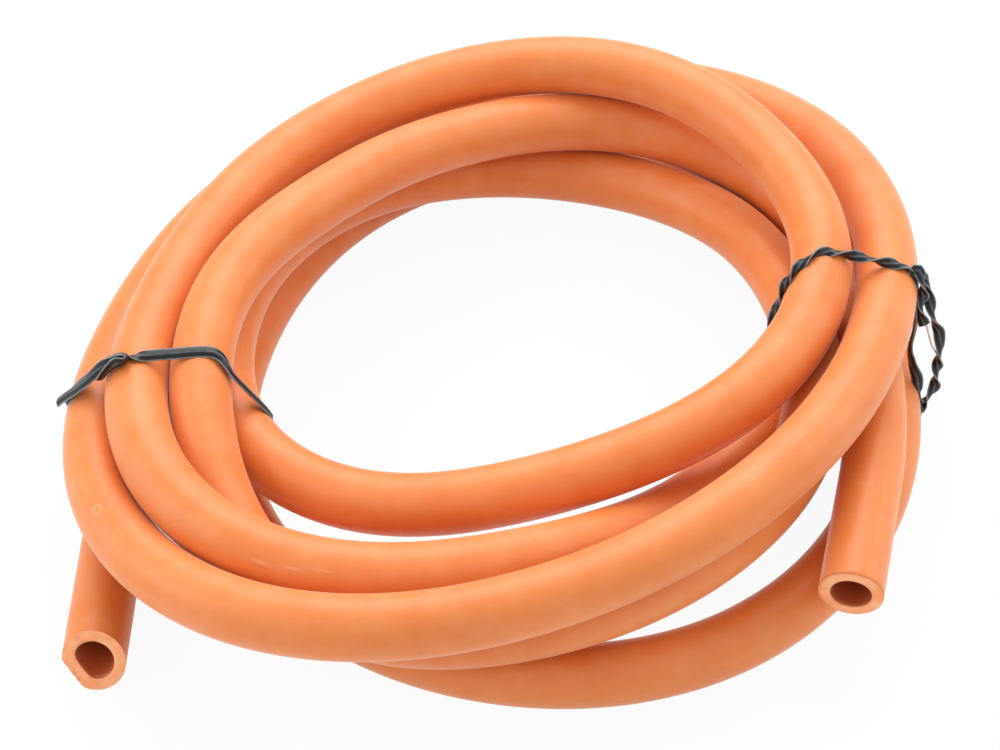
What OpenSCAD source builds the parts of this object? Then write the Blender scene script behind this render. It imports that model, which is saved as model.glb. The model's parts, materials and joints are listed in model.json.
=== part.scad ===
// Loose coil of rubber gas tubing, held by two twist ties.
// Millimetres. +X to the right, +Y to the back, +Z up; the origin is the middle of the base.
// The coil is seen from above: turns run clockwise from the left end to the right end.

/* [Tubing] */
// Outside diameter of the tubing
tube_od = 12.5; // [10:0.5:15]
// Bore of the tubing
tube_bore = 8; // [4:0.5:8.5]
// Straight length at the left end, up to its cut
left_length = 29; // [15:1:40]
// Straight length at the right end, up to its cut
right_length = 29; // [15:1:40]
// Tilt of the left cut from square, in degrees
left_cut = 16; // [0:1:25]
// Tilt of the right cut from square, in degrees
right_cut = 4; // [0:1:15]

/* [Coil] */
// Mean radius of the coil, to the middle of the tubing
coil_radius = 70; // [60:1:100]
// Air between neighbouring turns
lay_gap = 0.1; // [0.1:0.05:1]

/* [Twist ties] */
// Width of the plastic strip
strip_width = 2.2; // [1.5:0.1:3.5]
// Thickness of the strip over its wire
strip_thick = 0.9; // [0.5:0.05:1]
// Air between a strip and the tubing
strip_gap = 0.1; // [0.1:0.05:0.5]
// Diameter of the twisted pair at each knot
knot_dia = 3; // [2:0.1:4]
// Length of the twisted pair at the left knot
left_knot_length = 7; // [4:0.5:9]
// Length of the twisted pair at the right knot
right_knot_length = 7; // [4:0.5:9]
// Distance of the left tie in front of the coil's middle
left_tie_front = 22; // [10:1:30]
// Distance of the right tie's foot in front of the coil's middle
right_tie_front = 17; // [10:1:25]

/* [Hidden] */

// One step from turn to turn.
pitch = tube_od + lay_gap;

// The route has a station every 30 degrees. A lane counts pitches outwards from the mean
// radius, and a tier counts pitches up from the floor. Each row is one turn, from the left
// round the back, the right and the front. The first row leads in from the left end.
lane_rows = [
    [5, 1.15],
    [0.05, -0.05, 0.5, 1.35, 2.15, 1.32, 0.75, 0.5, 0.6, 1.25, 2.4, 1.8],
    [0.4, -0.1, -0.1, 0.5, 0.95, 0.85, 0.75, 1.3, 1.4, 0.8, 0.2, -0.5],
    [-1.25, -1.3, -0.9, -0.3, -0.1, -0.1, -0.55, -1, -0.85, -0.2, 1.35, 1],
    [-0.3, -0.7, -0.65, -0.4, -0.2, -0.3, -0.17, -0.75, -1.5, -1.65, -1.15, -0.75],
    [-1.15, -1.35, -1.45, -1.25, -1, -0.8, -0.75, 0.1, 0.55, 0.8, 1.1, -0.25],
    [-1.2, -2.1, -2.1, -1.6, -0.3, 0.35, 0.3, 1, 2.6, 7],
];
tier_rows = [
    [-0.1, 0.1],
    [0.1, 0, 0, 0, 0.2, 1.4, 2, 2.3, 2.35, 2.25, 2.15, 1.3],
    [1.05, 1.1, 0.9, 0.6, 0.15, 0, 0.1, 0.1, 0, 0, 0, 0.1],
    [0.1, 0, 0, 0, 0, 0, 0.1, 0.4, 0.8, 1.65, 2.15, 2.05],
    [1.8, 1.9, 1.85, 2.1, 2.45, 2.4, 2.35, 2.15, 1.8, 1.45, 1.1, 1.05],
    [1.15, 1.05, 0.9, 0.5, 0.4, 0.8, 1.2, 1.3, 1.35, 1.05, 0.75, 2],
    [2.2, 2.1, 1.95, 1.7, 1.3, 0.95, 1, 1.1, 1.2, 2.1],
];
lanes = [for (row = lane_rows) each row];
tiers = [for (row = tier_rows) each row];
lead = len(lane_rows[0]);
station_angle = 30;
start = -1;     // station where the left straight end begins
stop = 67.1;    // station where the right straight end begins

// Rings of the swept tube from station to station, and the sides of a ring.
ring_steps = 4;
outer_sides = 12;
bore_sides = 6;
bore_ring_r = tube_bore / 2 * sqrt(2 * PI / bore_sides / sin(360 / bore_sides)); // as wide as the round bore
bore_clear = 0.15; // the swept bore stands this far outside the true bore where the two meet
bore_joint_r = (tube_bore / 2 + bore_clear) / cos(180 / bore_sides);
left_cut_turn = -90;   // way that each tilted cut leans: -90 leaves the tube longest underneath
right_cut_turn = -90;

// ---- the route ----

// Smooth value of a list of stations: a uniform cubic B-spline.
function smooth(list, u) =
    let (k = floor(u), f = u - k, i = k + lead - 1)
    (pow(1 - f, 3) * list[i] + (3 * pow(f, 3) - 6 * f * f + 4) * list[i + 1]
     + (-3 * pow(f, 3) + 3 * f * f + 3 * f + 1) * list[i + 2] + pow(f, 3) * list[i + 3]) / 6;

// Middle of the tubing at station u, measured from the coil's middle on the floor.
function at(u) =
    let (a = 180 - station_angle * u, r = coil_radius + pitch * smooth(lanes, u))
    [r * cos(a), r * sin(a), tube_od / 2 + pitch * smooth(tiers, u)];

function unit(v) = v / norm(v);
function heading(u) = unit(at(min(u + 0.01, stop)) - at(max(u - 0.01, start)));

// ---- the ties ----

// Station between u0 and u1 where the tubing crosses the leaning plane y = -front + lean * z.
function side_of(u, front, lean) = let (p = at(u)) p[1] + front - lean * p[2];
function crossing(u0, u1, front, lean, n = 24) =
    let (m = (u0 + u1) / 2)
    n == 0 ? m
    : side_of(u0, front, lean) * side_of(m, front, lean) <= 0
        ? crossing(u0, m, front, lean, n - 1)
        : crossing(m, u1, front, lean, n - 1);

// One strand of a bundle: its middle, and its half width and half height where a strip as
// wide as strip_width crosses it on the slant.
function strand(u) =
    let (p = at(u), t = heading(u), sx = abs(t[0] / t[1]), sz = abs(t[2] / t[1]),
         r = tube_od / 2 + strip_gap)
    [p[0], p[2], r * norm([1, sx]) + strip_width / 2 * sx, r * norm([1, sz]) + strip_width / 2 * sz];

// The six strands of a bundle; the turns come back every 12 stations.
function bundle(u0, u1, front, lean) =
    [for (k = [0:5]) strand(crossing(u0 + 12 * k, u1 + 12 * k, front, lean))];

// How far a strand reaches in direction a (0 is outwards in +X, 90 is up).
function reach(s, a) = s[0] * cos(a) + s[1] * sin(a) + norm([s[2] * cos(a), s[3] * sin(a)]);

// Point that lies "out" beyond the strand that reaches furthest in direction a.
function band_point(strands, a, out, front, lean) =
    let (best = max([for (s = strands) reach(s, a)]),
         s = [for (q = strands) if (reach(q, a) >= best - 0.0001) q][0],
         h = norm([s[2] * cos(a), s[3] * sin(a)]),
         x = s[0] + s[2] * s[2] * cos(a) / h + out * cos(a),
         z = s[1] + s[3] * s[3] * sin(a) / h + out * sin(a))
    [x, lean * z - front, z];

right_lean = 0.35;  // the right tie leans back as it rises
left_strands = bundle(-1, 0, left_tie_front, 0);
right_strands = bundle(6, 7, right_tie_front, right_lean);
band_step = 10;
left_band = [for (a = [0:band_step:359])
    band_point(left_strands, a, strip_thick / 2, left_tie_front, 0)];
right_band = [for (a = [0:band_step:359])
    band_point(right_strands, a, strip_thick / 2, right_tie_front, right_lean)];

// The knots lie on the outer shoulder of each bundle, in these directions from its middle.
left_knot_at = 120;
right_knot_at = 10;
left_knot = band_point(left_strands, left_knot_at, knot_dia / 2, left_tie_front, 0);
right_knot = band_point(right_strands, right_knot_at, knot_dia / 2, right_tie_front, right_lean);
left_knot_dir = unit([-0.7, 0.1, -0.7]);
right_knot_dir = unit([0.1, -0.55, -0.8]);

// Loose ends, as steps from the end of each twisted pair.
left_tail_steps = [[0, 0, 0], [-2, 0, -2], [-4, 0, -4], [-6, -0.5, -6], [-7.5, -0.5, -7.5]];
right_tail_steps = [[0, 0, 0], [1.5, -2, -2.5], [2.5, -3, -6], [2.5, -3, -9.5], [2, -4, -13],
                    [1.5, -5, -16], [0, -6, -18.5]];
left_pair_end = left_knot + left_knot_length * left_knot_dir;
right_pair_end = right_knot + right_knot_length * right_knot_dir;
left_tail = [for (s = left_tail_steps) left_pair_end + s];
right_tail = [for (s = right_tail_steps) right_pair_end + s];

// ---- the origin: middle of the box that holds the coil and its ties ----

in_coil = [for (i = [0:8 * (stop - start)]) at(start + i / 8)];
left_mouth = at(start) - left_length * heading(start);
right_mouth = at(stop) + right_length * heading(stop);
xs = concat([for (p = in_coil) p[0] - tube_od / 2], [for (p = in_coil) p[0] + tube_od / 2],
            [for (p = concat(left_tail, right_tail)) p[0]]);
ys = concat([for (p = in_coil) p[1] - tube_od / 2], [for (p = in_coil) p[1] + tube_od / 2],
            [left_mouth[1], right_mouth[1]]);
origin = [(min(xs) + max(xs)) / 2, (min(ys) + max(ys)) / 2, 0];

// ---- shapes ----

// Ring of n points round p, square to direction t; the first axis lies level.
function ring(p, t, r, n, turn = 0) =
    let (u = unit(cross(t, [0, 0, 1])), v = cross(u, t))
    [for (i = [0:n - 1]) p + r * cos(360 * i / n + turn) * u + r * sin(360 * i / n + turn) * v];

function wall_faces(rings, n, off, flip) =
    [for (j = [0:rings - 2], i = [0:n - 1])
        let (a = off + j * n + i, b = off + j * n + (i + 1) % n, c = b + n, d = a + n)
        each flip ? [[a, c, b], [a, d, c]] : [[a, b, c], [a, c, d]]];

// Cap between an outer ring and a bore ring with half as many sides.
function cap_faces(o, h, n, flip) =
    [for (i = [0:n / 2 - 1])
        let (a = o + 2 * i, b = a + 1, c = o + (2 * i + 2) % n, d = h + i, e = h + (i + 1) % (n / 2))
        each flip ? [[a, d, b], [b, d, e], [b, e, c]] : [[a, b, d], [b, e, d], [b, c, e]]];

// Hollow tube swept along the coil; each of its two ends meets a straight end face to face.
module coil_sweep() {
    n = ceil(ring_steps * (stop - start));
    us = [for (j = [0:n]) start + (stop - start) * j / n];
    outer = [for (u = us) each ring(at(u), heading(u), tube_od / 2 - 0.02, outer_sides)];
    bore = [for (j = [0:n])
        each ring(at(us[j]), heading(us[j]), j == 0 || j == n ? bore_joint_r : bore_ring_r, bore_sides, 15)];
    o1 = n * outer_sides;
    h0 = (n + 1) * outer_sides;
    h1 = h0 + n * bore_sides;
    polyhedron(concat(outer, bore), concat(
        wall_faces(n + 1, outer_sides, 0, false), wall_faces(n + 1, bore_sides, h0, true),
        cap_faces(0, h0, outer_sides, true), cap_faces(o1, h1, outer_sides, false)));
}

// Puts a shape's Z axis along direction d at point p.
module stand(p, d) {
    translate(p) rotate([0, acos(d[2]), atan2(d[1], d[0])]) children();
}

// Straight end: a true tube from p along d, cut off at a tilt.
module straight_end(p, d, length, tilt, turn) {
    stand(p, d) difference() {
        cylinder(d = tube_od, h = length + tube_od, $fn = 64);
        translate([0, 0, -1]) cylinder(d = tube_bore, h = length + tube_od + 2, $fn = 64);
        translate([0, 0, length]) rotate([0, 0, turn]) rotate([tilt, 0, 0])
            translate([-tube_od, -tube_od, 0]) cube([2 * tube_od, 2 * tube_od, 2 * tube_od]);
    }
}

// Strip section at p: width across along w, thickness along q.
function strip_ring(p, w, q) =
    [for (s = [[1, -0.5], [1, 0.5], [0.4, 1], [-0.4, 1], [-1, 0.5], [-1, -0.5], [-0.4, -1], [0.4, -1]])
        p + s[0] * strip_width / 2 * w + s[1] * strip_thick / 2 * q];

// Closed band round a bundle; its width runs along the strands.
module band(points) {
    n = len(points);
    pts = [for (j = [0:n - 1])
        let (t = unit(points[(j + 1) % n] - points[(j + n - 1) % n]), w = unit([0, 1, 0] - t[1] * t))
        each strip_ring(points[j], w, cross(t, w))];
    polyhedron(pts, [for (j = [0:n - 1], i = [0:7])
        let (a = 8 * j + i, b = 8 * j + (i + 1) % 8, c = 8 * ((j + 1) % n) + (i + 1) % 8, d = 8 * ((j + 1) % n) + i)
        each [[a, c, b], [a, d, c]]]);
}

// Loose end of a strip.
module tail(points) {
    n = len(points);
    pts = [for (j = [0:n - 1])
        let (t = unit(points[min(j + 1, n - 1)] - points[max(j - 1, 0)]), w = unit(cross(t, [0.2, 1, 0.1])))
        each strip_ring(points[j], w, cross(t, w))];
    polyhedron(pts, concat(
        [for (j = [0:n - 2], i = [0:7])
            let (a = 8 * j + i, b = 8 * j + (i + 1) % 8, c = b + 8, d = a + 8)
            each [[a, c, b], [a, d, c]]],
        [[for (i = [0:7]) i], [for (i = [7:-1:0]) 8 * (n - 1) + i]]));
}

// Twisted pair at a knot.
module twisted_pair(p, d, length) {
    stand(p, d) {
        cylinder(d = knot_dia, h = length, $fn = 24);
        translate([0, 0, -knot_dia / 3]) cylinder(d1 = knot_dia / 2, d2 = knot_dia, h = knot_dia / 3, $fn = 24);
    }
}

// ---- the pieces ----

module tubing() {
    color("#f0874b") translate(-origin) coil_sweep();
}

module left_end() {
    color("#f0874b") translate(-origin)
        straight_end(at(start), -heading(start), left_length, left_cut, left_cut_turn);
}

module right_end() {
    color("#f0874b") translate(-origin)
        straight_end(at(stop), heading(stop), right_length, right_cut, right_cut_turn);
}

module left_tie() {
    color("#3a3f45") translate(-origin) union() {
        band(left_band);
        twisted_pair(left_knot, left_knot_dir, left_knot_length);
        tail(left_tail);
    }
}

module right_tie() {
    color("#3a3f45") translate(-origin) union() {
        band(right_band);
        twisted_pair(right_knot, right_knot_dir, right_knot_length);
        tail(right_tail);
    }
}

tubing();
left_end();
right_end();
left_tie();
right_tie();
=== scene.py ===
# %% [markdown]
# # Rubber gas tubing, coiled and tied
#
# The object is one length of plain rubber tubing, as sold for gas burners. It lies in a
# loose coil of just under six turns, and two plastic-covered wire ties keep the turns
# together. The CAD model is loaded first and stays the frame: every length below is in
# metres and lies in the same place as its CAD solid.

import json
import math

import bmesh
import bpy
import numpy as np
from mathutils import Matrix, Vector


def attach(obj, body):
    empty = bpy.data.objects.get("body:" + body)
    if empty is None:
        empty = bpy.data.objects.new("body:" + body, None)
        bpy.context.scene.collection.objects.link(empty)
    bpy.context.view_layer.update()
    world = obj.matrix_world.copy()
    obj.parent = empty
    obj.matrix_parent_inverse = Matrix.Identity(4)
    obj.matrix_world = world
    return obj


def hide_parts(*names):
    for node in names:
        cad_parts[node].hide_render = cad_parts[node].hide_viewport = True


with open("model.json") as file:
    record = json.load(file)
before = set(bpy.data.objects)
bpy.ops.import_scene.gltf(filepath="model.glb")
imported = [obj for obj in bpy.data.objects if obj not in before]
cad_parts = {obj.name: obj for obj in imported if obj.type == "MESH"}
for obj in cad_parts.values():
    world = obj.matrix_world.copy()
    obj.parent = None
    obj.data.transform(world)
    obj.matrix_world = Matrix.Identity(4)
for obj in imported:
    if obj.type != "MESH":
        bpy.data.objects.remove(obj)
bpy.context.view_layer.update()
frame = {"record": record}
MM = 0.001

# %% [markdown]
# ## The lay of the coil
#
# A coil could be drawn as a spiral, but this one was wound by hand: its turns wander in
# and out and climb over each other. So each turn is a row of twelve stations, 30 degrees
# apart. A lane says how many tubes outwards from the mean radius the turn lies, and a tier
# how many tubes up from the bench. A cubic B-spline joins the stations into one smooth
# line, because thick rubber never kinks. These are the CAD model's own numbers. They
# weren't designed by hand: most come from a least-squares fit to the real coil's lay, were
# rounded, and were then changed a little so that no two turns run into each other.

# %% Stations of the coil
tube_od = 12.5 * MM
tube_bore = 8 * MM
coil_radius = 70 * MM
pitch = tube_od + 0.1 * MM
straight_end = 29 * MM
station_angle = 30
turn_stations = 360 // station_angle
start, stop = -1, 67.1
lane_rows = [
    [5, 1.15],
    [0.05, -0.05, 0.5, 1.35, 2.15, 1.32, 0.75, 0.5, 0.6, 1.25, 2.4, 1.8],
    [0.4, -0.1, -0.1, 0.5, 0.95, 0.85, 0.75, 1.3, 1.4, 0.8, 0.2, -0.5],
    [-1.25, -1.3, -0.9, -0.3, -0.1, -0.1, -0.55, -1, -0.85, -0.2, 1.35, 1],
    [-0.3, -0.7, -0.65, -0.4, -0.2, -0.3, -0.17, -0.75, -1.5, -1.65, -1.15, -0.75],
    [-1.15, -1.35, -1.45, -1.25, -1, -0.8, -0.75, 0.1, 0.55, 0.8, 1.1, -0.25],
    [-1.2, -2.1, -2.1, -1.6, -0.3, 0.35, 0.3, 1, 2.6, 7],
]
tier_rows = [
    [-0.1, 0.1],
    [0.1, 0, 0, 0, 0.2, 1.4, 2, 2.3, 2.35, 2.25, 2.15, 1.3],
    [1.05, 1.1, 0.9, 0.6, 0.15, 0, 0.1, 0.1, 0, 0, 0, 0.1],
    [0.1, 0, 0, 0, 0, 0, 0.1, 0.4, 0.8, 1.65, 2.15, 2.05],
    [1.8, 1.9, 1.85, 2.1, 2.45, 2.4, 2.35, 2.15, 1.8, 1.45, 1.1, 1.05],
    [1.15, 1.05, 0.9, 0.5, 0.4, 0.8, 1.2, 1.3, 1.35, 1.05, 0.75, 2],
    [2.2, 2.1, 1.95, 1.7, 1.3, 0.95, 1, 1.1, 1.2, 2.1],
]
lead = len(lane_rows[0])
lanes = np.array([lane for row in lane_rows for lane in row])
tiers = np.array([tier for row in tier_rows for tier in row])


def smooth(stations, u):
    """Value of a list of stations at u, on a uniform cubic B-spline."""
    k = np.floor(u).astype(int)
    f = u - k
    i = k + lead - 1
    return ((1 - f) ** 3 * stations[i] + (3 * f**3 - 6 * f**2 + 4) * stations[i + 1]
            + (-3 * f**3 + 3 * f**2 + 3 * f + 1) * stations[i + 2] + f**3 * stations[i + 3]) / 6


def at(u):
    """Middle of the tubing at stations u, from the coil's middle on the bench."""
    u = np.atleast_1d(np.asarray(u, float))
    angle = np.radians(180 - station_angle * u)
    r = coil_radius + pitch * smooth(lanes, u)
    return np.stack([r * np.cos(angle), r * np.sin(angle), tube_od / 2 + pitch * smooth(tiers, u)], 1)


def unit(v):
    """Each vector at length 1."""
    v = np.asarray(v, float)
    return v / np.linalg.norm(v, axis=-1, keepdims=True)


def heading(u):
    """Direction in which the tubing runs at stations u."""
    return unit(at(np.minimum(u + 0.01, stop)) - at(np.maximum(u - 0.01, start)))


print("turns:", round((stop - start) * station_angle / 360, 2))

# %% [markdown]
# ## Where the coil's middle lies
#
# The stations are measured from the coil's middle, and the CAD part's origin is the middle
# of its box. The left bore's mount is a point that both know: it lies on the bore, a set
# depth inside the mouth.

# %% Move the coil into the part's frame
mount_depth = 12 * MM
left_out = -heading(np.array([start]))[0]
right_out = heading(np.array([stop]))[0]
left_mouth = at(start)[0] + straight_end * left_out
right_mouth = at(stop)[0] + straight_end * right_out
left_bore = next(m for m in frame["record"]["mounts"] if m["name"] == "left_bore")
middle = np.array(left_bore["pos_m"]) - (left_mouth - mount_depth * left_out)
print("coil's middle in the part's frame, mm:", (1000 * middle).round(2))

# %% [markdown]
# ## Camera
#
# The camera looks down on the coil from the front at 47 degrees, through a long lens, so
# near and far turns have almost the same width. It leans by less than two degrees.

# %% Camera
view_height = math.radians(47)
view_lean = math.radians(-1.75)
view_distance = 599 * MM
look_at = middle + np.array([0.2, 4.0, 0]) * MM
forward = np.array([0, math.cos(view_height), -math.sin(view_height)])
level = np.array([1.0, 0, 0])
above = np.cross(level, forward)
right = math.cos(view_lean) * level + math.sin(view_lean) * above
upward = math.cos(view_lean) * above - math.sin(view_lean) * level
lens = bpy.data.cameras.new("camera")
lens.sensor_width = 36
lens.lens = 100.8
lens.clip_start = 0.01
camera = bpy.data.objects.new("camera", lens)
turned = Matrix([list(row) for row in np.stack([right, upward, -forward], 1)])
camera.matrix_world = Matrix.Translation(look_at - view_distance * forward) @ turned.to_4x4()
bpy.context.scene.collection.objects.link(camera)
bpy.context.scene.camera = camera
print("camera at, mm:", (1000 * (look_at - view_distance * forward)).round(1))

# %% [markdown]
# ## A straight piece, laid along a line
#
# Both the tubing and the ties are made the way a factory makes them: as a straight length
# with one section all along. Only then is the length laid on its line. A line holds, for
# each of its points, the length so far, the place, and two directions square to the line.
# The same helper then bends a hose, or bends and twists a strip.

# %% Lines and how a straight piece is laid on them


def lengths(points):
    """How far along the line each of its points lies."""
    return np.concatenate([[0], np.cumsum(np.linalg.norm(np.diff(points, axis=0), axis=1))])


def make_line(points, up, turn=0.0):
    """A line through points; up is the rough direction of its section's Y, turned by turn radians."""
    points = np.asarray(points, float)
    along = lengths(points)
    ahead = unit(np.gradient(points, along, axis=0))
    side = unit(np.cross(ahead, np.broadcast_to(up, points.shape)))
    upright = np.cross(side, ahead)
    turn = np.broadcast_to(turn, along.shape)[:, None]
    return {
        "along": along,
        "point": points,
        "side": np.cos(turn) * side + np.sin(turn) * upright,
        "up": np.cos(turn) * upright - np.sin(turn) * side,
    }


def points_of(mesh):
    """The mesh's vertices as rows of x, y, z."""
    co = np.empty(3 * len(mesh.vertices))
    mesh.vertices.foreach_get("co", co)
    return co.reshape(-1, 3)


def keep_place(mesh):
    """Keeps each point's place on the straight piece as an attribute, for the materials."""
    straight = mesh.attributes.new("laid_straight", "FLOAT_VECTOR", "POINT")
    straight.data.foreach_set("vector", points_of(mesh).ravel())


def lay_along(mesh, line):
    """Bends a straight mesh, whose length is its Z, so that it follows the line."""
    x, y, z = points_of(mesh).T
    beyond = z - np.clip(z, 0, line["along"][-1])

    def here(name):
        return np.stack([np.interp(z, line["along"], line[name][:, k]) for k in range(3)], 1)

    side, up = unit(here("side")), unit(here("up"))
    laid = here("point") + x[:, None] * side + y[:, None] * up + beyond[:, None] * np.cross(up, side)
    mesh.vertices.foreach_set("co", laid.ravel())
    mesh.update()


def add_piece(name, bm, smooth_shading=True):
    """Turns a bmesh into an object at the origin."""
    mesh = bpy.data.meshes.new(name)
    bm.to_mesh(mesh)
    bm.free()
    mesh.polygons.foreach_set("use_smooth", [smooth_shading] * len(mesh.polygons))
    piece = bpy.data.objects.new(name, mesh)
    bpy.context.scene.collection.objects.link(piece)
    return piece


# %% [markdown]
# ## The tubing
#
# The real tubing is extruded: 12.5 mm outside with an 8 mm bore, and smooth from end to
# end. A bevelled curve would give its outside in one step, but its ends would be solid.
# So the wall's section is drawn as a long thin rectangle beside the axis and turned once
# round it, as on a lathe. The four rims at the mouths then get a slightly worn, round lip.

# %% Turn the straight tubing
hose_sides = 36
outer_step, bore_step = 2.5 * MM, 5 * MM
mouth_step, mouth_reach = 1 * MM, 15 * MM
lip = 0.3 * MM
hair = 0.01 * MM
coil_points, end_points = 2400, 40

in_coil = at(np.linspace(start, stop, coil_points))
end_steps = np.linspace(0, 1, end_points)[:-1, None]
hose_points = middle + np.concatenate([
    left_mouth + end_steps * (in_coil[0] - left_mouth),
    in_coil,
    right_mouth + end_steps[::-1] * (in_coil[-1] - right_mouth),
])
hose_line = make_line(hose_points, up=(0, 0, 1))
hose_length = float(hose_line["along"][-1])


def draw_on(bm, corner, way, length, step):
    """Draws a line of edges on from a corner, one step at a time, and gives its last corner."""
    steps = round(length / step)
    drawn = bmesh.ops.spin(bm, geom=[corner], cent=(0, 0, 0), axis=(0, 0, 1), angle=0, steps=steps,
                           dvec=Vector(way) * length / steps, use_merge=False, use_duplicate=False)
    return next(v for v in drawn["geom_last"] if isinstance(v, bmesh.types.BMVert))


bm = bmesh.new()
corner = bm.verts.new((tube_od / 2, 0, 0))
wall = (tube_od - tube_bore) / 2
between = hose_length - 2 * mouth_reach
for way, across, middle_step in ((1, -1, outer_step), (-1, 1, bore_step)):
    for length, step in ((mouth_reach, mouth_step), (between, middle_step), (mouth_reach, mouth_step)):
        corner = draw_on(bm, corner, (0, 0, way), length, step)
    corner = draw_on(bm, corner, (across, 0, 0), wall, wall / 3)
bmesh.ops.remove_doubles(bm, verts=bm.verts, dist=hair)
bmesh.ops.spin(bm, geom=bm.edges[:], cent=(0, 0, 0), axis=(0, 0, 1), dvec=(0, 0, 0),
               angle=2 * math.pi, steps=hose_sides, use_merge=True, use_duplicate=False)
bmesh.ops.recalc_face_normals(bm, faces=bm.faces)


def at_mouth(v):
    """True for a vertex that lies in the plane of a cut."""
    return min(abs(v.co.z), abs(v.co.z - hose_length)) < hair


rims = [e for e in bm.edges if all(at_mouth(v) for v in e.verts)
        and not all(at_mouth(v) for face in e.link_faces for v in face.verts)]
bmesh.ops.bevel(bm, geom=rims, offset=lip, offset_type="OFFSET", segments=3, profile=0.5,
                affect="EDGES", material=-1, clamp_overlap=True)
rubber_skin, rubber_cut = 0, 1
for face in bm.faces:
    across = face.calc_center_median().xy.length
    at_cut = all(min(abs(v.co.z), abs(v.co.z - hose_length)) < 0.7 * lip for v in face.verts)
    on_wall = tube_bore / 2 - lip < across < tube_od / 2 - 0.2 * lip
    face.material_index = rubber_cut if at_cut and on_wall else rubber_skin
tubing = add_piece("rubber_tubing", bm)
print("tubing: length", round(hose_length, 3), "m,", len(tubing.data.polygons), "faces,",
      sum(p.material_index == rubber_cut for p in tubing.data.polygons), "of them cut")

# %% [markdown]
# ## How the ends were cut
#
# Both ends were cut freehand. The right cut is nearly square. The left one leans back, and
# the blade pinched the wall on its way out, which left a flat side and a pointed corner. On
# the straight tubing this is easy: the rings near each end are sheared, and the left ones
# are also pressed flat on one side. The push fades out a little way up the tubing.
#
# Before that, each point's place on the straight tubing is kept as an attribute. Marks on
# the rubber are placed by it later, so they bend with the coil.

# %% Shape both cut ends and lay the tubing down
left_lean, right_lean = math.tan(math.radians(22)), math.tan(math.radians(-4))
lean_fade, pinch_fade = 12 * MM, 14 * MM
pinch_way = math.radians(213)
pinch_wall, pinch_bore = 5.25 * MM, 1.1 * MM

keep_place(tubing.data)
co = points_of(tubing.data)
across = co[:, 0] * math.cos(pinch_way) + co[:, 1] * math.sin(pinch_way)
on_bore = np.hypot(co[:, 0], co[:, 1]) < (tube_od + tube_bore) / 4
flat_wall = np.maximum(0, across - pinch_wall)
soft_bore = pinch_bore * np.maximum(0, across / (tube_bore / 2)) ** 3
push = np.where(on_bore, soft_bore, flat_wall) * np.clip(1 - co[:, 2] / pinch_fade, 0, 1)
co[:, 0] -= push * math.cos(pinch_way)
co[:, 1] -= push * math.sin(pinch_way)
from_right = hose_length - co[:, 2]
co[:, 2] += left_lean * co[:, 1] * np.clip(1 - co[:, 2] / lean_fade, 0, 1)
co[:, 2] -= right_lean * co[:, 1] * np.clip(1 - from_right / lean_fade, 0, 1)
tubing.data.vertices.foreach_set("co", co.ravel())
lay_along(tubing.data, hose_line)
print("deepest pinch, mm:", round(1000 * push.max(), 2))

# %% [markdown]
# ## Twist ties: where a strip lies
#
# A tie is pulled tight round six strands of tubing. Seen along the strands, the strip
# follows the outline of the bundle, like a rubber band round a handful of pencils. For
# each direction the strand that reaches furthest is found, and the strip lies on it.
#
# A strip also slides a little along the tubing as it goes round. So the strands' places
# are worked out on a few planes, one behind the other, and read in between.

# %% The bundles inside the ties
strip_width = 2.5 * MM
strip_thick = 1 * MM
strip_gap = 0.1 * MM
tied_strands = 6
halvings = 20


def crossing(u0, u1, front, lean):
    """Station between u0 and u1 where the tubing crosses the plane y = -front + lean z."""
    def beyond(u):
        x, y, z = at(u)[0]
        return y + front - lean * z
    for _ in range(halvings):
        u = (u0 + u1) / 2
        if beyond(u0) * beyond(u) <= 0:
            u1 = u
        else:
            u0 = u
    return u0


def bundle(u0, u1, front, lean):
    """Middle and half size of each of the tied strands, where the strip crosses them."""
    strands = []
    for turn in range(tied_strands):
        past = turn_stations * turn
        u = crossing(u0 + past, u1 + past, front, lean)
        (x, y, z), (tx, ty, tz) = at(u)[0], heading(np.array([u]))[0]
        slant_x, slant_z = abs(tx / ty), abs(tz / ty)
        r = tube_od / 2 + strip_gap
        strands.append((x, z, r * math.hypot(1, slant_x), r * math.hypot(1, slant_z)))
    return np.array(strands)


def round_bundle(u0, u1, fronts, lean, angles, slide, away):
    """Points round a bundle at these angles, off the furthest strand and slid forwards."""
    tables = [bundle(u0, u1, front, lean) for front in fronts]
    points = []
    for angle, front, off in zip(np.radians(angles), fronts[0] + slide, away + 0 * slide):
        k = min(max(1, np.searchsorted(fronts, front)), len(fronts) - 1)
        share = (front - fronts[k - 1]) / (fronts[k] - fronts[k - 1])
        strands = (1 - share) * tables[k - 1] + share * tables[k]
        c, s = math.cos(angle), math.sin(angle)
        half = np.hypot(strands[:, 2] * c, strands[:, 3] * s)
        best = np.argmax(strands[:, 0] * c + strands[:, 1] * s + half)
        x, z, a, b = strands[best]
        x += a * a * c / half[best] + off * c
        z += b * b * s / half[best] + off * s
        points.append((x, lean * z - front, z))
    return np.array(points)


def swell(angles, middle_angle, reach):
    """A soft bump of height 1 round one direction, in degrees."""
    return np.exp(-(((angles - middle_angle) / reach) ** 2))


# %% [markdown]
# ## The strip of a tie
#
# A twist tie is a thin steel wire inside a soft plastic ribbon. Its section is flat with a
# round ridge over the wire. The outline is a formula: thin at the edges, with a bump in
# the middle. The straight strip is drawn out, closed at its two cut ends and laid down.
#
# Each tie is one strip from tip to tip: a loose end, the way round the bundle, and the
# other loose end, which is hooked round the first. Its path is a list of rows, each with a
# place, the way the flat side faces there and the strip's twist in half turns. The rows
# are read off at even steps and eased, so the strip has no kinks.

# %% Make a strip
wing_thick = 0.45 * MM
ridge_width = 0.6 * MM
strip_step = 0.4 * MM
facing_front = (0, -0.7, 0.7)


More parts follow.
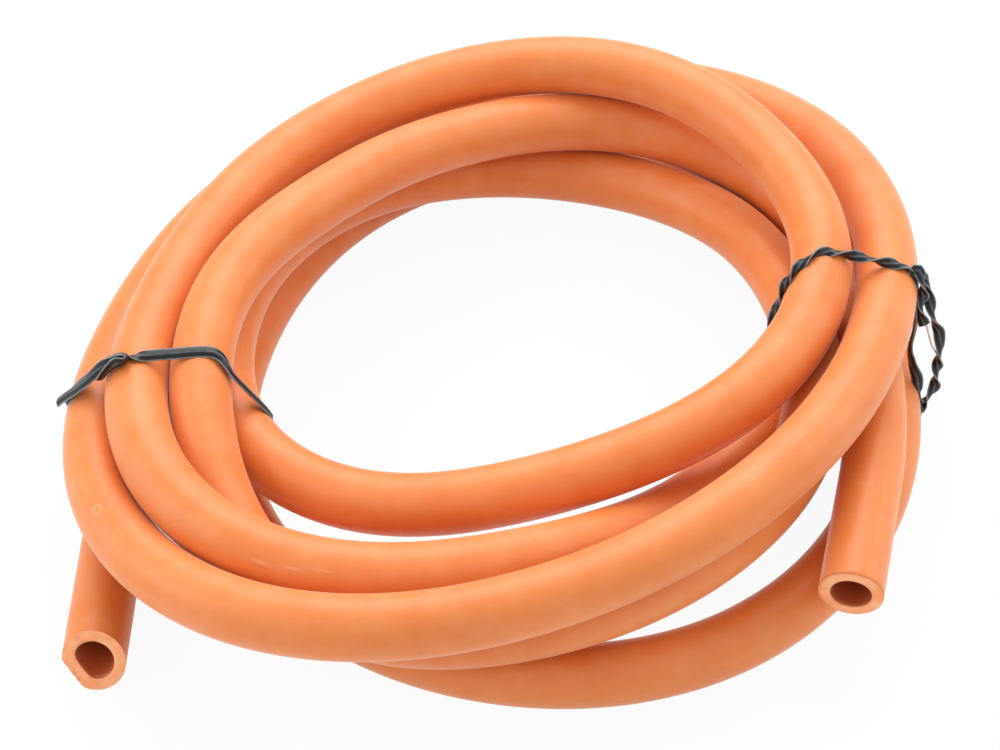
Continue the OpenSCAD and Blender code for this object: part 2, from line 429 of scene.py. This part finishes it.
def strip_rows(places, faces, half_turns=0.0):
    """Rows of a strip's path: places, where the flat side faces, and the twist."""
    rows = np.zeros((len(places), 7))
    rows[:, :3], rows[:, 3:6], rows[:, 6] = places, faces, half_turns
    return rows


def eased(rows, rounds):
    """The rows at even steps, smoothed as many times as rounds says."""
    along = lengths(rows[:, :3])
    marks = np.linspace(0, along[-1], round(along[-1] / strip_step) + 1)
    rows = np.stack([np.interp(marks, along, column) for column in rows.T], 1)
    for _ in range(rounds):
        rows[1:-1] = (rows[:-2] + 2 * rows[1:-1] + rows[2:]) / 4
    return rows


def lay_strip(name, rows, rounds=2):
    """A strip of a tie along the path that its rows give."""
    rows = eased(rows, rounds)
    line = make_line(middle + rows[:, :3], unit(rows[:, 3:6]), math.pi * rows[:, 6])
    length = line["along"][-1]
    points = 9
    across = strip_width / 2 * np.cos(np.linspace(0, math.pi, points))
    edge = np.sqrt(np.maximum(0, 1 - (2 * across / strip_width) ** 4))
    half = (wing_thick + (strip_thick - wing_thick) * np.exp(-((across / ridge_width) ** 2))) / 2 * edge
    outline = [(x, h) for x, h in zip(across, half)] + [(x, -h) for x, h in zip(across, half)][-2:0:-1]
    bm = bmesh.new()
    verts = [bm.verts.new((x, y, 0)) for x, y in outline]
    for a, b in zip(verts, verts[1:] + verts[:1]):
        bm.edges.new((a, b))
    steps = round(length / strip_step)
    bmesh.ops.spin(bm, geom=bm.edges[:], cent=(0, 0, 0), axis=(0, 0, 1), dvec=(0, 0, length / steps),
                   angle=0, steps=steps, use_merge=False, use_duplicate=False)
    bmesh.ops.holes_fill(bm, edges=[e for e in bm.edges if e.is_boundary])
    bmesh.ops.recalc_face_normals(bm, faces=bm.faces)
    piece = add_piece(name, bm)
    keep_place(piece.data)
    lay_along(piece.data, line)
    print(name, "length, mm:", round(1000 * length, 1))
    return piece


# %% [markdown]
# ## The left tie
#
# The left tie lies flat, with its ridge outwards. One end comes over the top from the
# right, dives under the other end on the shoulder of the bundle and points down and away
# from the coil. The other end comes up round the outermost strand, hooks over the first
# one and ends as a short stub.

# %% Left tie
left_fronts = np.array([19.0, 21.0, 23.3, 26.0]) * MM
left_angles = np.arange(100.0, -213.0, -4)
left_slide = (3.5 + 3.6 * swell(left_angles, 20, 22) + 0.8 * swell(left_angles, 110, 20)
              - 3.6 * swell(left_angles, -162, 32)) * MM
left_away = (0.3 + 0.9 * swell(left_angles, 50, 16)) * strip_thick
left_loop = round_bundle(-1, 0, left_fronts, 0, left_angles, left_slide, left_away)
left_outward = np.stack([np.cos(np.radians(left_angles)), 0.7 * swell(left_angles, 20, 25) - 0.4,
                         np.sin(np.radians(left_angles))], 1)
left_path = eased(strip_rows(left_loop, left_outward), 40)
left_path[:, 6] = np.interp(lengths(left_path[:, :3]), [0, 3 * MM], [0.5, 0])
left_tail = MM * np.array([
    (-88.6, -23.3, 25.2), (-87.1, -23.4, 26.7), (-84.9, -23.6, 28.7), (-82.5, -23.8, 31.2),
    (-80.4, -24, 33.8), (-78.2, -24.2, 36.4), (-76.2, -24.4, 37.7), (-74.4, -24.5, 37.8)])
left_hook = MM * np.array([
    (-85.6, -21.4, 26.6), (-84, -21.2, 28.6), (-81.6, -21.2, 31.1), (-79.2, -21.6, 33.9),
    (-77.2, -22.5, 36.5), (-75.4, -23.7, 38.6), (-73.9, -24.3, 39.6), (-72.8, -24.75, 39.4),
    (-73.8, -25.3, 39), (-75, -25.6, 38.8), (-76.6, -25.3, 37.2), (-78.3, -25.2, 35),
    (-78.9, -25.2, 33.8)])
left_tail_turns = [1.28, 1.27, 1.25, 1.22, 1.15, 1, 0.85, 0.7]
left_tie = lay_strip("left_twist_tie", np.concatenate([
    strip_rows(left_tail, facing_front, left_tail_turns),
    left_path,
    strip_rows(left_hook[:5], (-0.7, -0.3, 0.6), [0.1, 0.2, 0.25, 0.25, 0.2]),
    strip_rows(left_hook[5:7], (-0.1, 0.7, 0.7)),
    strip_rows(left_hook[7:8], (1, 0, 0)),
    strip_rows(left_hook[8:9], (-0.1, -0.7, -0.5)),
    strip_rows(left_hook[9:], (-0.3, -0.8, 0.5), [0.1, 0.3, 0.4, 0.4]),
]))

# %% [markdown]
# ## The right tie
#
# The right tie was twisted on itself before it was wound on, so its strip is a long screw
# with a half turn about every 8 mm. Its ends make a knot on the outer shoulder: one hooks
# over the other and ends in a stub, and the other hangs down to the bench as a curly tail.

# %% Right tie
tie_lean = 0.35
right_fronts = np.array([17.0, 20.0, 23.0]) * MM
right_angles = np.arange(60.0, 347.0, 4)
right_slide = (1.8 * swell(right_angles, 100, 35) + 4.6 * swell(right_angles, 150, 32)) * MM
right_loop = round_bundle(6, 7, right_fronts, tie_lean, right_angles, right_slide, 0.4 * strip_thick)
right_outward = np.stack([np.cos(np.radians(right_angles)), 0 * right_angles,
                          np.sin(np.radians(right_angles))], 1)
right_tail = MM * np.array([
    (87, -14.4, 5.2), (87.7, -14, 6.2), (88.7, -13.5, 7.7), (90.2, -12.6, 10.4), (90.3, -11.8, 12.4),
    (90.5, -11, 14.8), (90.7, -10.3, 17), (90.9, -9.6, 18.9), (90.5, -8.3, 22.4), (89.2, -7.5, 24.9),
    (88.6, -6.6, 27.5), (88, -5.6, 30.3), (87.7, -4.9, 32.4), (87.3, -4.4, 33.8), (86.4, -4.4, 34.5),
    (85.3, -4.4, 35.2), (84, -4.3, 36.2)])
right_tail_turns = [0, 0.1, 0.5, 1, 1.5, 2, 2.5, 2.8, 3.1, 3.5, 3.9, 4.2, 4.5, 4.8, 5, 5.2, 5.5]
right_hook = MM * np.array([
    (86.6, -13.6, 9.8), (86.3, -12.4, 13.1), (85.3, -11.5, 15.8), (84.6, -10.5, 18.7),
    (84.6, -9.9, 20.4), (85.3, -8.8, 23.4), (85.6, -7.7, 26.4), (85.5, -6.8, 29.2),
    (85.3, -5.9, 31.6), (84.7, -5.3, 34.4), (84.5, -4.9, 36.3), (85.1, -4.9, 37.4),
    (85.9, -5.6, 36.1), (86.4, -6.5, 33.6), (86.6, -7.2, 31.5), (86.1, -8, 29), (86.4, -8.6, 27.5),
    (87.1, -9.3, 25.4)])
right_hook_turns = [-0.2, 0.1, 0.3, 0.4, 0.45, 0.5, 0.55, 0.6, 0.7, 0.8, 0.9, 1, 1.1, 1.5, 2, 2.4, 2.7, 3]
right_loop_turns = np.interp(lengths(right_loop), MM * np.array([0, 6, 13.8, 20.7, 26.5, 29.5, 36, 46]),
                             [5.77, 6.74, 7.74, 8.75, 9.85, 10.9, 12, 14])
right_tie = lay_strip("right_twist_tie", np.concatenate([
    strip_rows(right_tail, facing_front, right_tail_turns),
    eased(strip_rows(right_loop, right_outward, right_loop_turns), 40),
    strip_rows(right_hook, facing_front, 15 + np.array(right_hook_turns)),
]))

# %% [markdown]
# ## The bare wire
#
# Behind the right tie's stub the plastic has torn off, and its steel wire runs bare from
# the stub to the tail. It is a thin circle drawn along its own short line, and becomes a
# part of the tie.

# %% Bare wire of the right tie
wire_thick = 0.4 * MM
wire_sides = 8
steel_slot = 1
bare_wire = middle + eased(strip_rows(MM * np.array([
    (86.6, -9, 27), (87.6, -9.2, 25), (88.3, -9.6, 22.3), (89, -9.9, 19.8), (90.4, -10.2, 17.2),
    (90.7, -10.6, 15.8)]), facing_front), 3)[:, :3]
wire_line = make_line(bare_wire, facing_front)
bm = bmesh.new()
bmesh.ops.create_circle(bm, cap_ends=True, radius=wire_thick / 2, segments=wire_sides)
steps = len(bare_wire)
bmesh.ops.spin(bm, geom=bm.edges[:] + bm.faces[:], cent=(0, 0, 0), axis=(0, 0, 1), angle=0, steps=steps,
               dvec=(0, 0, wire_line["along"][-1] / steps), use_merge=False, use_duplicate=False)
bmesh.ops.recalc_face_normals(bm, faces=bm.faces)
wire = add_piece("bare_wire", bm)
plastic_faces = len(right_tie.data.polygons)
keep_place(wire.data)
lay_along(wire.data, wire_line)
with bpy.context.temp_override(active_object=right_tie, object=right_tie,
                               selected_objects=[right_tie, wire],
                               selected_editable_objects=[right_tie, wire]):
    bpy.ops.object.join()
for polygon in right_tie.data.polygons[plastic_faces:]:
    polygon.material_index = steel_slot
print("bare wire, mm:", round(1000 * wire_line["along"][-1], 1))

# %% [markdown]
# ## Nodes
#
# Every colour is written as the sRGB hex value that one reads off a paint chart. Blender's
# shaders want linear light, so one function turns the one into the other. One more
# function adds a node with its settings and links.

# %% Helpers for materials


def colour(hex_value):
    """Linear RGBA of an sRGB hex colour."""
    parts = [int(hex_value[i:i + 2], 16) / 255 for i in (1, 3, 5)]
    return tuple(p / 12.92 if p <= 0.04045 else ((p + 0.055) / 1.055) ** 2.4 for p in parts) + (1.0,)


def add_node(tree, kind, inputs=None, **settings):
    """Adds one node, sets its settings, and sets or links each of its inputs."""
    node = tree.nodes.new(kind)
    for name, value in settings.items():
        setattr(node, name, value)
    for name, value in (inputs or {}).items():
        if isinstance(value, bpy.types.NodeSocket):
            tree.links.new(value, node.inputs[name])
        else:
            node.inputs[name].default_value = value
    return node


def new_material(name):
    """An empty material, with its tree and its output node."""
    material = bpy.data.materials.new(name)
    material.use_nodes = True
    material.node_tree.nodes.clear()
    return material, material.node_tree, material.node_tree.nodes.new("ShaderNodeOutputMaterial")


# %% [markdown]
# ## Extruded rubber
#
# The tubing is soft natural rubber, filled with chalk and an orange pigment. It is matt:
# the skin scatters light widely, and only at a glancing angle does it show a pale sheen.
# The pattern reads the place of each point on the straight tubing, so the talc patches and
# the marks lie on the rubber and bend with it.

# %% Rubber skin
rubber, tree, output = new_material("extruded_rubber")
place = add_node(tree, "ShaderNodeAttribute", attribute_name="laid_straight").outputs["Vector"]
cloud = add_node(tree, "ShaderNodeTexNoise", {"Vector": place, "Scale": 1 / (25 * MM), "Detail": 3.0})
tone = add_node(tree, "ShaderNodeValToRGB", {"Fac": cloud.outputs["Fac"]})
tone.color_ramp.elements[0].position, tone.color_ramp.elements[1].position = 0.35, 0.65
tone.color_ramp.elements[0].color = colour("#E07933")
tone.color_ramp.elements[1].color = colour("#E6813B")
drawn = add_node(tree, "ShaderNodeMapping", {"Vector": place, "Scale": (1.0, 1.0, 0.03)})
die_lines = add_node(tree, "ShaderNodeTexNoise", {"Vector": drawn.outputs["Vector"],
                                                  "Scale": 1 / (0.45 * MM), "Detail": 3.0})
patches = add_node(tree, "ShaderNodeTexNoise", {"Vector": place, "Scale": 1 / (7 * MM), "Detail": 6.0,
                                                "Roughness": 0.6})
talc = add_node(tree, "ShaderNodeMapRange", {"Value": patches.outputs["Fac"], "From Min": 0.35,
                                             "From Max": 0.75, "To Min": 0.0, "To Max": 0.12})
dusty = add_node(tree, "ShaderNodeMixRGB", {"Fac": talc.outputs["Result"], "Color1": tone.outputs["Color"],
                                            "Color2": colour("#FACDA4")})

# %% Scuffs and scratches on the skin
# Station along the coil, angle round the tubing in degrees, half size across and along, and
# how strongly the mark shows. The first is a small ring, and the last two are dark.
scuffs = [
    (10.76, 116, 1.1 * MM, 1.1 * MM, 0.3, "ring"),
    (10.88, 119, 0.4 * MM, 0.5 * MM, 0.25, "pale"),
    (34.05, 138, 0.5 * MM, 2.4 * MM, 0.2, "pale"),
    (33.93, 134, 0.35 * MM, 2.2 * MM, 0.22, "pale"),
    (33.82, 128, 0.4 * MM, 3 * MM, 0.16, "pale"),
    (34.06, 146, 0.3 * MM, 2 * MM, 0.4, "dark"),
    (58.6, 52, 0.3 * MM, 0.8 * MM, 0.5, "dark"),
]
fine = add_node(tree, "ShaderNodeTexNoise", {"Vector": place, "Scale": 1 / (0.5 * MM), "Detail": 3.0})
coil_along = hose_line["along"][len(end_steps):len(end_steps) + len(in_coil)]
skin = dusty.outputs["Color"]
for station, angle, reach_across, reach_along, strength, kind in scuffs:
    along = np.interp(station, np.linspace(start, stop, len(in_coil)), coil_along)
    spot = np.array([tube_od / 2 * math.cos(math.radians(angle)),
                     tube_od / 2 * math.sin(math.radians(angle)), along])
    scale = np.array([1 / reach_across, 1 / reach_across, 1 / reach_along])
    local = add_node(tree, "ShaderNodeMapping", {"Vector": place, "Scale": tuple(scale),
                                                 "Location": tuple(-spot * scale)})
    away = add_node(tree, "ShaderNodeVectorMath", {0: local.outputs["Vector"]}, operation="LENGTH")
    if kind == "ring":
        away = add_node(tree, "ShaderNodeMath", {0: away.outputs["Value"], 1: 0.85, 2: 0.25},
                        operation="COMPARE")
        near = add_node(tree, "ShaderNodeMath", {0: away.outputs[0], 1: fine.outputs["Fac"]},
                        operation="MULTIPLY")
    else:
        near = add_node(tree, "ShaderNodeMath", {0: away.outputs["Value"], 1: fine.outputs["Fac"]},
                        operation="ADD")
        near = add_node(tree, "ShaderNodeMapRange", {"Value": near.outputs[0], "From Min": 1.5,
                                                     "From Max": 0.6, "To Min": 0.0, "To Max": 1.0})
    amount = add_node(tree, "ShaderNodeMath", {0: near.outputs[0], 1: strength}, operation="MULTIPLY")
    skin = add_node(tree, "ShaderNodeMixRGB", {
        "Fac": amount.outputs[0], "Color1": skin,
        "Color2": colour("#A8502A" if kind == "dark" else "#FBDCC4")}).outputs["Color"]

# %% The bore, painted darker as shade, the gloss and the grain
bore_reach, skin_reach = tube_bore / 2 + 0.15 * MM, tube_bore / 2 + 0.4 * MM
section = add_node(tree, "ShaderNodeMapping", {"Vector": place, "Scale": (1.0, 1.0, 0.0)})
radius = add_node(tree, "ShaderNodeVectorMath", {0: section.outputs["Vector"]}, operation="LENGTH")
bore_painted_shade = add_node(tree, "ShaderNodeMapRange", {"Value": radius.outputs["Value"], "From Min": bore_reach,
                                                "From Max": skin_reach, "To Min": 1.0, "To Max": 0.0})
# Painted shade: inside the bore the colour is mixed towards a darker orange, because little light reaches
# into the tube.
skin = add_node(tree, "ShaderNodeMixRGB", {"Fac": bore_painted_shade.outputs["Result"], "Color1": skin,
                                           "Color2": colour("#C45C2E")}).outputs["Color"]
grain = add_node(tree, "ShaderNodeTexNoise", {"Vector": place, "Scale": 1 / (0.6 * MM), "Detail": 4.0})
height = add_node(tree, "ShaderNodeMath", {0: die_lines.outputs["Fac"], 1: 0.3, 2: grain.outputs["Fac"]},
                  operation="MULTIPLY_ADD")
bump = add_node(tree, "ShaderNodeBump", {"Height": height.outputs[0], "Strength": 0.1,
                                         "Distance": 0.05 * MM})
shader = add_node(tree, "ShaderNodeBsdfPrincipled", {
    "Base Color": skin, "Roughness": 0.45, "IOR": 1.5, "Normal": bump.outputs["Normal"],
    "Sheen Weight": 0.45, "Sheen Roughness": 0.35, "Sheen Tint": colour("#FFEBD4")})
tree.links.new(shader.outputs["BSDF"], output.inputs["Surface"])

# %% Cut rubber
cut, tree, output = new_material("cut_rubber")
place = add_node(tree, "ShaderNodeTexCoord").outputs["Object"]
pores = add_node(tree, "ShaderNodeTexNoise", {"Vector": place, "Scale": 1 / (0.4 * MM), "Detail": 5.0})
swipes = add_node(tree, "ShaderNodeTexNoise", {"Vector": place, "Scale": 1 / (3 * MM), "Detail": 2.0})
tone = add_node(tree, "ShaderNodeValToRGB", {"Fac": swipes.outputs["Fac"]})
tone.color_ramp.elements[0].position, tone.color_ramp.elements[1].position = 0.35, 0.65
tone.color_ramp.elements[0].color = colour("#FB9F68")
tone.color_ramp.elements[1].color = colour("#FFB684")
bump = add_node(tree, "ShaderNodeBump", {"Height": pores.outputs["Fac"], "Strength": 0.5,
                                         "Distance": 0.1 * MM})
shader = add_node(tree, "ShaderNodeBsdfPrincipled", {
    "Base Color": tone.outputs["Color"], "Roughness": 0.8, "IOR": 1.5, "Normal": bump.outputs["Normal"]})
tree.links.new(shader.outputs["BSDF"], output.inputs["Surface"])
tubing.data.materials.append(rubber)
tubing.data.materials.append(cut)

# %% Tie plastic
plastic, tree, output = new_material("soft_black_plastic")
place = add_node(tree, "ShaderNodeAttribute", attribute_name="laid_straight").outputs["Vector"]
# Painted highlight: a pale grey is mixed into the colour near the strip's two edges and along its ridge,
# where light glints on the glossy plastic.
across = add_node(tree, "ShaderNodeSeparateXYZ", {"Vector": place}).outputs["X"]
from_middle = add_node(tree, "ShaderNodeMath", {0: across}, operation="ABSOLUTE")
edge_highlight_paint = add_node(tree, "ShaderNodeMapRange", {
    "Value": from_middle.outputs[0], "From Min": 0.37 * strip_width, "From Max": 0.46 * strip_width})
ridge_highlight_paint = add_node(tree, "ShaderNodeMapRange", {
    "Value": from_middle.outputs[0], "From Min": 0.3 * MM, "From Max": 0.1 * MM, "To Max": 0.35})
painted_highlight = add_node(tree, "ShaderNodeMath", {0: edge_highlight_paint.outputs["Result"], 1: ridge_highlight_paint.outputs["Result"]},
                operation="MAXIMUM")
wrinkle = add_node(tree, "ShaderNodeTexNoise", {"Vector": place, "Scale": 1 / (1.2 * MM), "Detail": 3.0})
patchy_highlight = add_node(tree, "ShaderNodeMath", {0: painted_highlight.outputs[0], 1: wrinkle.outputs["Fac"]},
                  operation="MULTIPLY")
# Dark plastic, with the pale grey of the painted highlight mixed in.
face_colour = add_node(tree, "ShaderNodeMixRGB", {
    "Fac": patchy_highlight.outputs[0], "Color1": colour("#101216"), "Color2": colour("#AEB8BE")})
bump = add_node(tree, "ShaderNodeBump", {"Height": wrinkle.outputs["Fac"], "Strength": 0.3,
                                         "Distance": 0.1 * MM})
shader = add_node(tree, "ShaderNodeBsdfPrincipled", {
    "Base Color": face_colour.outputs["Color"], "Roughness": 0.32, "IOR": 1.45,
    "Normal": bump.outputs["Normal"]})
tree.links.new(shader.outputs["BSDF"], output.inputs["Surface"])
left_tie.data.materials.append(plastic)
right_tie.data.materials.append(plastic)

# %% Bare steel
steel, tree, output = new_material("drawn_steel_wire")
shader = add_node(tree, "ShaderNodeBsdfPrincipled", {
    "Base Color": colour("#DAD6D0"), "Metallic": 1.0, "Roughness": 0.5})
tree.links.new(shader.outputs["BSDF"], output.inputs["Surface"])
right_tie.data.materials.append(steel)

# %% [markdown]
# ## Bench and light
#
# The bench is a white sheet. To the camera it glows, so that it reads as white paper, and
# a little of the coil's soft shadow stays on it. The light is a bright, even room, a wide
# soft box above and behind the coil, and two weaker ones at its left and right.

# %% Bench, lamps and room
white_share = 0.93
room_light = 0.78
bm = bmesh.new()
bmesh.ops.create_grid(bm, x_segments=2, y_segments=2, size=3)
bench = add_piece("bench", bm, smooth_shading=False)
paper, tree, output = new_material("white_paper")
seen = add_node(tree, "ShaderNodeLightPath")
by_eye = add_node(tree, "ShaderNodeMath", {0: seen.outputs["Is Camera Ray"],
                                           1: seen.outputs["Is Glossy Ray"]}, operation="MAXIMUM")
share = add_node(tree, "ShaderNodeMath", {0: by_eye.outputs[0], 1: white_share}, operation="MULTIPLY")
matt = add_node(tree, "ShaderNodeBsdfDiffuse", {"Color": colour("#F2F2F2")})
glow = add_node(tree, "ShaderNodeEmission", {"Color": (1, 1, 1, 1), "Strength": 1.0})
both = add_node(tree, "ShaderNodeMixShader", {0: share.outputs[0], 1: matt.outputs[0], 2: glow.outputs[0]})
tree.links.new(both.outputs[0], output.inputs["Surface"])
bench.data.materials.append(paper)

world = bpy.data.worlds.new("room")
world.use_nodes = True
world.node_tree.nodes["Background"].inputs["Color"].default_value = (1, 1, 1, 1)
world.node_tree.nodes["Background"].inputs["Strength"].default_value = room_light
bpy.context.scene.world = world


def soft_box(name, place, size, watts):
    """A square lamp that faces the coil."""
    data = bpy.data.lights.new(name, "AREA")
    data.size = size
    data.energy = watts
    lamp = bpy.data.objects.new(name, data)
    lamp.location = place
    lamp.rotation_euler = Vector(place).to_track_quat("Z", "Y").to_euler()
    bpy.context.scene.collection.objects.link(lamp)


soft_box("back", (0.05, 0.6, 0.75), 0.8, 7)
soft_box("left", (-0.8, 0, 0.45), 0.6, 2.7)
soft_box("right", (0.8, 0.15, 0.5), 0.6, 2)
bpy.context.scene.view_settings.view_transform = "Standard"

# %% [markdown]
# ## Each piece in place of its CAD solids
#
# The tubing has both ends bare, and the ties stay on it. Each piece hides the CAD solids that it stands
# for and rides on the part's one body.

for piece, slot, *nodes in ((tubing, "rubber", "tubing", "left_end", "right_end"),
                            (left_tie, "tie_plastic", "left_tie"),
                            (right_tie, "tie_plastic", "right_tie")):
    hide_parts(*nodes)
    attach(piece, "root")
